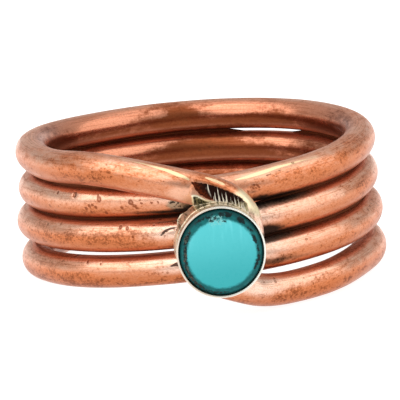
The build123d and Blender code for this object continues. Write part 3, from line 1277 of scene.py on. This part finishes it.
olive = between(seat_across * 0.7 - above_edge * 1.4 + fray * 1.6, 0.25, 0.75)
scale_colour = blend(olive, scale_colour, (0.36, 0.30, 0.16))
scale_colour = blend(bright_scratch, scale_colour, (0.80, 0.74, 0.62))
metal = blend(scaled, metal, scale_colour)
tell(copper)

# %% [markdown]
# Pale solder covers the outside of the hooked end, and a thin wash of it ran left along
# the crossing wire. Where the flat ends, a small web of solder is painted with a pale rim,
# and its face is nearly black: painted shade of a hollow under it.

# %% Solder on the copper
pale_solder = blend(between(mottle, 0.35, 0.65), (0.97, 0.90, 0.62), (0.88, 0.76, 0.50))
soldered = between(remembered(copper_start, "solder") + fray * 0.3, -0.12, 0.28)
metal = blend(soldered * (1 - scaled) * 0.85, metal, pale_solder)
washed = between(remembered(copper_start, "wash") + fray * 0.3, -0.15, 0.25)
metal = blend(washed * (1 - scaled) * (1 - filed) * 0.45, metal, (0.92, 0.58, 0.42))
web = remembered(copper_start, "web") + fray * 0.08
metal = blend(between(web, -0.09, -0.03), metal, (0.84, 0.76, 0.56))
# painted shade: the web's nearly black face stands for the hollow beneath it
web_face = blend(between(freckle, 0.42, 0.56), (0.20, 0.19, 0.11), (0.020, 0.020, 0.014))
metal = blend(between(web, 0.0, 0.04), metal, web_face)
plug(metal, copper_shader, "Base Color")
tell(copper)

# %% [markdown]
# The shine goes with the colour: rubbed copper is smoother than its brown skin, soot and
# scale are almost dull. A bump carries what is too fine for the mesh, in real
# millimetres: the drawn lines, the pits and the scratches.

# %% Shine and relief
rough = 0.25 + brown_share * 0.08 + stained * 0.12 + (drawn - 0.5) * 0.10 + dusty * 0.12
rough = rough - filed * 0.14
rough = rough + black_gap * 0.25 + sooty * 0.25 + scaled * 0.2
plug(rough, copper_shader, "Roughness")
copper_shader.inputs["Metallic"].default_value = 1.0
wire_height = drawn * 0.16 + mottle * 0.25 - pitted * 0.6 + scaled * bright_scratch * 0.4
plug(relief(wire_height, 0.5), copper_shader, "Normal")
wire.data.materials.append(copper)
tell(copper)

# %% [markdown]
# ## The cup
#
# The cup is a strip of thin silver bent to a ring on a small plate. After the stone goes
# in, its edge is rubbed down over the stone all the way round with a burnisher, which
# leaves a thin bright line that is never quite even. It is a lathe shape, made from rows
# of radius and height, with a little wander in both. A third number in each row says how
# much of that wander it takes: none at the foot, and all of it at the rim.

# %% A lathe that is a little oval
cup_sides = 180
around_cup = np.arange(cup_sides) / cup_sides * 2 * pi
oval = 0.042
oval_towards = radians(96)
cup_aside = np.array([-0.075, 0.02])  # the hand set the cup this far off, across and up


def round_the_cup(angles, radius):
    """Places across and up on the oval of this radius, at these angles in radians."""
    stretch = 1 + oval * np.cos(angles - oval_towards) ** 2
    ray = np.column_stack([np.cos(angles), np.sin(angles)])
    return cup_aside + (radius * stretch)[:, None] * ray


def lathe(name, profile, uneven_out, uneven_up, memory=None):
    """Rings round the cup's axis from (radius, out, hand) rows, a little oval and uneven."""
    bend = wander(around_cup * 3, longest=6 * pi, rows=9)
    rise = wander(around_cup * 3, longest=6 * pi, rows=7)
    rings = []
    for radius, out, hand in profile:
        flat = round_the_cup(around_cup, radius + hand * uneven_out * bend)
        rings.append(np.column_stack([flat, out + hand * uneven_up * rise]))
    rings = np.array(rings)
    places = rings.reshape(-1, 3)
    kept = {label: work_out(places) for label, work_out in (memory or {}).items()}
    return skin(name, from_cup(rings), {"seat": places, **kept})


print("the lathe is", round(100 * oval), "% oval")

# %% Silver cup
# radius, out, hand
cup_profile = [
    (0.3, 0.02, 0), (1.2, 0.02, 0), (2.08, 0.02, 0), (2.14, 0.03, 0), (2.155, 0.08, 0),
    (2.158, 0.30, 0.1), (2.17, 0.55, 0.2), (2.20, 0.80, 0.4), (2.225, 0.95, 0.6),
    (2.240, 1.05, 0.8), (2.240, 1.10, 1), (2.230, 1.137, 1), (2.205, 1.15, 1), (2.175, 1.149, 1),
    (2.145, 1.135, 1), (2.125, 1.10, 0.9), (2.11, 1.04, 0.7), (2.09, 0.95, 0.4), (2.05, 0.5, 0),
    (2.0, 0.32, 0), (1.2, 0.32, 0), (0.3, 0.32, 0),
]
cup = lathe("silver_cup", cup_profile, 0.012, 0.012)
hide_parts("bezel_cup")

# %% [markdown]
# Silver keeps its shine only where it is rubbed. The rim is bright, and warmer on the left
# where it is rubbed less. The wall is painted a little dull and warm, a painted reflection
# of the copper around it, and at its foot is a row of small dark dashes left by the edge of
# a tool.

# %% Silver
silver, silver_start, silver_shader = start_material("worn_silver")
cup_seat = remembered(silver_start, "seat", "Vector")
cup_across = part(cup_seat, "X")
cup_out = part(cup_seat, "Z")
haze = cloud(cup_seat, 3.0, 4.0, 0.65)
upright = cloud(cup_seat * (1.0, 1.0, 0.12), 6.0, 2.0, 0.6)
# painted reflection: the wall warmed by the copper around it
wall_colour = blend(haze, (0.84, 0.74, 0.57), (0.74, 0.60, 0.43))
left_rim = between(cup_across + (haze - 0.5) * 2.0, 0.9, -1.4)
rim_colour = blend(left_rim, (0.80, 0.79, 0.72), (0.70, 0.60, 0.50))
on_rim = between(cup_out, 1.02, 1.08)
cup_colour = blend(on_rim, wall_colour, rim_colour)
dashes = between(upright, 0.52, 0.60) * between(cup_out, 0.30, 0.18)
cup_colour = blend(dashes * 0.8, cup_colour, (0.22, 0.19, 0.10))
plug(cup_colour, silver_shader, "Base Color")
plug(0.36 - on_rim * 0.16 + haze * 0.08, silver_shader, "Roughness")
plug(relief(haze * 0.3 + upright * 0.3, 0.4), silver_shader, "Normal")
silver_shader.inputs["Metallic"].default_value = 1.0
cup.data.materials.append(silver)
tell(silver)

# %% [markdown]
# ## The solder
#
# Solder runs wherever hot metal touches, and freezes there as a hollow skirt between the
# cup's wall and the wires. Its edge lies on whatever is under it. To build that, a ray is
# sent down on to the wire beside the wall at every step round the cup, and the skirt is
# stretched from the wall to the place that the ray finds. Where there is no wire the
# skirt is only a thin lip over the plug of solder under the cup.

# %% Where the solder lands
wire_tree = BVHTree.FromObject(wire, bpy.context.evaluated_depsgraph_get())
deepest = -0.90
above_cup = 3.0
# degrees round the cup, and how far the solder spreads from its wall
skirt_widths = np.array([
    (-180, 0.04), (-60, 0.04), (20, 0.06), (60, 0.07), (100, 0.06), (118, 0.10),
    (127, 0.08), (135, 0.20), (142, 0.18), (150, 0.04), (180, 0.04),
])
# degrees round the cup, and how far up the wall it climbs
skirt_heights = np.array([
    (-180, 0.04), (-60, 0.04), (20, 0.07), (60, 0.09), (110, 0.10), (125, 0.08),
    (136, 0.26), (142, 0.22), (150, 0.04), (180, 0.04),
])


def wire_out(across, up):
    """How far out the wire's skin lies in front of this place, or the plug's depth."""
    origin = Vector(from_cup([across, up, above_cup]) * MM)
    hit = wire_tree.ray_cast(origin, Vector(-cup_axes[:, 2]))
    if hit[0] is None:
        return deepest
    return max(deepest, float(to_cup(np.array(hit[0]) / MM)[2]))


print("the filed flat lies", round(wire_out(*flat_place[:2]), 2), "mm out from the cup's foot")

# %% Solder skirt
skirt_radius = 2.165  # just outside the cup's wall
inside_wall = 2.10
core_radius = 0.4  # both ends of the skirt close near the cup's axis
skirt_steps = 9
film = 0.012  # solder left at the skirt's edge
tuck = 0.08  # how deep the edge is tucked into the wire
tuck_back = 0.05  # and how far back under the skirt
skirt_rings = [[] for _ in range(skirt_steps + 4)]
for angle in (np.degrees(around_cup) + 180) % 360 - 180:
    here = np.array([radians(angle)])
    width = np.interp(angle, *skirt_widths.T)
    climb = np.interp(angle, *skirt_heights.T)
    inner = round_the_cup(here, core_radius)[0]
    skirt_rings[0].append([*inner, 0.1])
    skirt_rings[1].append([*round_the_cup(here, inside_wall)[0], climb + 0.02])
    for step in range(skirt_steps):
        share = step / (skirt_steps - 1)
        landing = round_the_cup(here, skirt_radius + width * share)[0]
        under = wire_out(*landing)
        out = under + film + (climb - under) * (1 - share) ** 2.4
        skirt_rings[2 + step].append([*landing, out])
    foot = wire_out(*round_the_cup(here, skirt_radius + width)[0])
    tucked = round_the_cup(here, skirt_radius + width - tuck_back)[0]
    skirt_rings[-2].append([*tucked, foot - tuck])
    skirt_rings[-1].append([*inner, deepest])
skirt_rings = np.array(skirt_rings)
solder = skin("solder_skirt", from_cup(skirt_rings), {"seat": skirt_rings.reshape(-1, 3)})
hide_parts("bezel_cup")
solder.data.materials.append(silver)

# %% [markdown]
# ## The turquoise
#
# The stone is a disc of turquoise with a steep shoulder in painted shade and an almost flat
# top, cut with a slight dome so that it takes the light softly. It fills the cup to the rim.
# Dark veins of the rock that it grew in run round its edge. Each vein is a chain of places
# with a thickness, and the skin remembers how deep in a vein each point lies.

# %% Veins of host rock
# how dark, and the chain: across, up, half width
host_rock = [
    (0.9, [(-1.22, 1.66, 0.02), (-0.98, 1.80, 0.04), (-0.74, 1.87, 0.04), (-0.42, 1.86, 0.02)]),
    (0.7, [(-0.62, 1.98, 0.03), (-0.36, 2.02, 0.03)]),
    (1.0, [(0.08, 1.96, 0.04), (0.30, 1.93, 0.09), (0.52, 1.88, 0.06), (0.60, 1.85, 0.02)]),
    (1.0, [(0.90, 1.70, 0.04), (1.02, 1.58, 0.09), (1.20, 1.44, 0.03)]),
    (0.9, [(1.34, 1.20, 0.03), (1.40, 1.12, 0.02)]),
    (1.0, [(1.50, 1.02, 0.03), (1.58, 0.94, 0.02)]),
    (0.8, [(1.48, 0.80, 0.02), (1.53, 0.74, 0.02)]),
    (1.0, [(1.66, 0.68, 0.03), (1.63, 0.52, 0.06), (1.69, 0.38, 0.04)]),
    (0.8, [(1.76, 0.20, 0.01), (1.74, 0.05, 0.02), (1.78, -0.12, 0.01)]),
    (1.0, [(1.78, -0.28, 0.02), (1.74, -0.50, 0.04), (1.64, -0.72, 0.04), (1.51, -0.95, 0.01)]),
    (0.8, [(-0.12, 1.74, 0.02), (-0.04, 1.66, 0.02)]),
    (0.8, [(0.20, 1.66, 0.02), (0.30, 1.58, 0.03)]),
    (0.8, [(-0.46, 1.72, 0.02), (-0.30, 1.70, 0.03), (-0.20, 1.84, 0.02)]),
    (0.9, [(-1.50, 1.30, 0.03), (-1.71, 1.00, 0.05), (-1.83, 0.62, 0.05), (-1.89, 0.20, 0.06),
           (-1.90, -0.20, 0.06), (-1.86, -0.62, 0.07), (-1.73, -1.04, 0.07)]),
    (0.9, [(-1.73, -1.04, 0.07), (-1.46, -1.42, 0.07), (-1.12, -1.74, 0.04), (-0.70, -1.94, 0.03),
           (-0.30, -2.03, 0.03), (0.10, -2.06, 0.02)]),
]
vein_blur = 0.12


def veins(places):
    """1 inside a vein of host rock, fading to 0 a little outside it."""
    darkest = np.zeros(len(places))
    for strength, chain in host_rock:
        inside = inside_chain(places[:, :2], np.array(chain))
        darkest = np.maximum(darkest, strength * np.clip(1 + inside / vein_blur, 0, 1))
    return darkest


print(len(host_rock), "veins drawn")

# %% Stone
# radius, out
stone_profile = np.array([
    (0.3, 0.36), (1.2, 0.36), (1.99, 0.38), (2.03, 0.44), (2.06, 0.9), (2.07, 1.06),
    (2.055, 1.12), (2.02, 1.165), (1.96, 1.20), (1.89, 1.235), (1.82, 1.262), (1.74, 1.285),
    (1.64, 1.305), (1.48, 1.33), (1.3, 1.357), (1.1, 1.382), (0.85, 1.408), (0.55, 1.43),
    (0.25, 1.443), (0.08, 1.446),
])
cut_lengths = lengths_along(stone_profile)
hidden_length = 2.6  # so much of the profile is under the rim, where coarse rings do
finer = np.concatenate([
    np.arange(0, hidden_length, 0.2),
    np.arange(hidden_length, cut_lengths[-1], 0.045),
    cut_lengths[-1:],
])
hand = np.interp(finer, [2.5, 3.1, 3.8, 4.4], [0, 1, 1, 0])  # it shaped the shoulder
fine_profile = np.column_stack([read_off(finer, cut_lengths, stone_profile), hand])
stone = lathe("turquoise_stone", fine_profile, 0.014, 0.006, {"vein": veins})
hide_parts("cabochon")

# %% [markdown]
# Turquoise is an opaque blue-green stone. This one is even in the middle, except that it is
# painted lighter towards the top, a painted highlight, and it has a dark teal band round its
# edge: painted shade on the steep shoulder, which was also left rough. The distance from the
# middle of the stone says where the band begins, and clouds of noise fray it. At the top
# faint upright streaks lighten it, a painted reflection of the light above.

# %% Turquoise body
turquoise, stone_start, stone_shader = start_material("turquoise")
stone_seat = remembered(stone_start, "seat", "Vector")
stone_across = part(stone_seat, "X")
stone_up = part(stone_seat, "Y")
stone_aside = (0.06, 0.03, 0.0)  # the stone's own middle lies this far left and down
from_middle = distance((stone_seat + stone_aside) * (1.0, 1.0, 0.0))
torn = cloud(stone_seat, 3.2, 4.0, 0.7) - 0.5
fine = cloud(stone_seat, 9.0, 4.0, 0.75) - 0.5
# painted highlight: the body lighter towards the top
body = blend(between(stone_up, -1.6, 1.5), (0.044, 0.40, 0.43), (0.095, 0.55, 0.59))
# painted reflection of the light above, as faint upright streaks
streaks = cloud(stone_seat * (1.0, 0.15, 1.0), 2.2, 2.0)
top_light = between(streaks, 0.45, 0.75) * between(stone_up, 0.1, 1.3)
body = blend(top_light * 0.6, body, (0.22, 0.76, 0.82))
# painted shade on the steep shoulder, as a dark teal band
edge = between(from_middle + torn * 0.20 + fine * 0.16, 1.65, 1.82)
teal = blend(between(torn, -0.15, 0.2), (0.005, 0.085, 0.090), (0.010, 0.150, 0.150))
teal = blend(between(from_middle, 1.93, 2.08) * 0.7, teal, (0.002, 0.035, 0.038))
body = blend(edge, body, teal)
tell(turquoise)

# %% [markdown]
# A few pale crumbs of rock show at the top edge. The veins are almost black, and their
# borders are torn by a rough cloud. On the left the rock is browner where its crust was
# left on. The veins were too soft to take a polish, so they lie a little lower.

# %% Crumbs and veins
crumb_zone = between(stone_up + fine * 1.5, 1.42, 1.70) * between(from_middle, 2.02, 1.92)
crumb_zone = crumb_zone * between(stone_across, 0.35, 0.10)
crumb_zone = crumb_zone * between(stone_across, -0.62, -0.45)
body = blend(between(fine, -0.04, 0.05) * crumb_zone * 0.70, body, (0.25, 0.59, 0.58))
rough_tear = cloud(stone_seat, 6.0, 5.0, 0.8) - 0.5
veined = between(remembered(stone_start, "vein") + rough_tear * 3.0 + torn * 0.4, 0.62, 0.76)
crusted = between(stone_across, -1.0, -1.5) * between(fine, 0.0, 0.10)
vein_colour = blend(crusted, (0.006, 0.009, 0.009), (0.11, 0.085, 0.06))
body = blend(veined * 0.93, body, vein_colour)
plug(body, stone_shader, "Base Color")
plug(0.28 + edge * 0.12 + torn * 0.1, stone_shader, "Roughness")
plug(relief(fine * 0.2 - veined * 0.6, 0.35), stone_shader, "Normal")
stone_shader.inputs["Specular IOR Level"].default_value = 0.12
stone.data.materials.append(turquoise)
tell(turquoise)
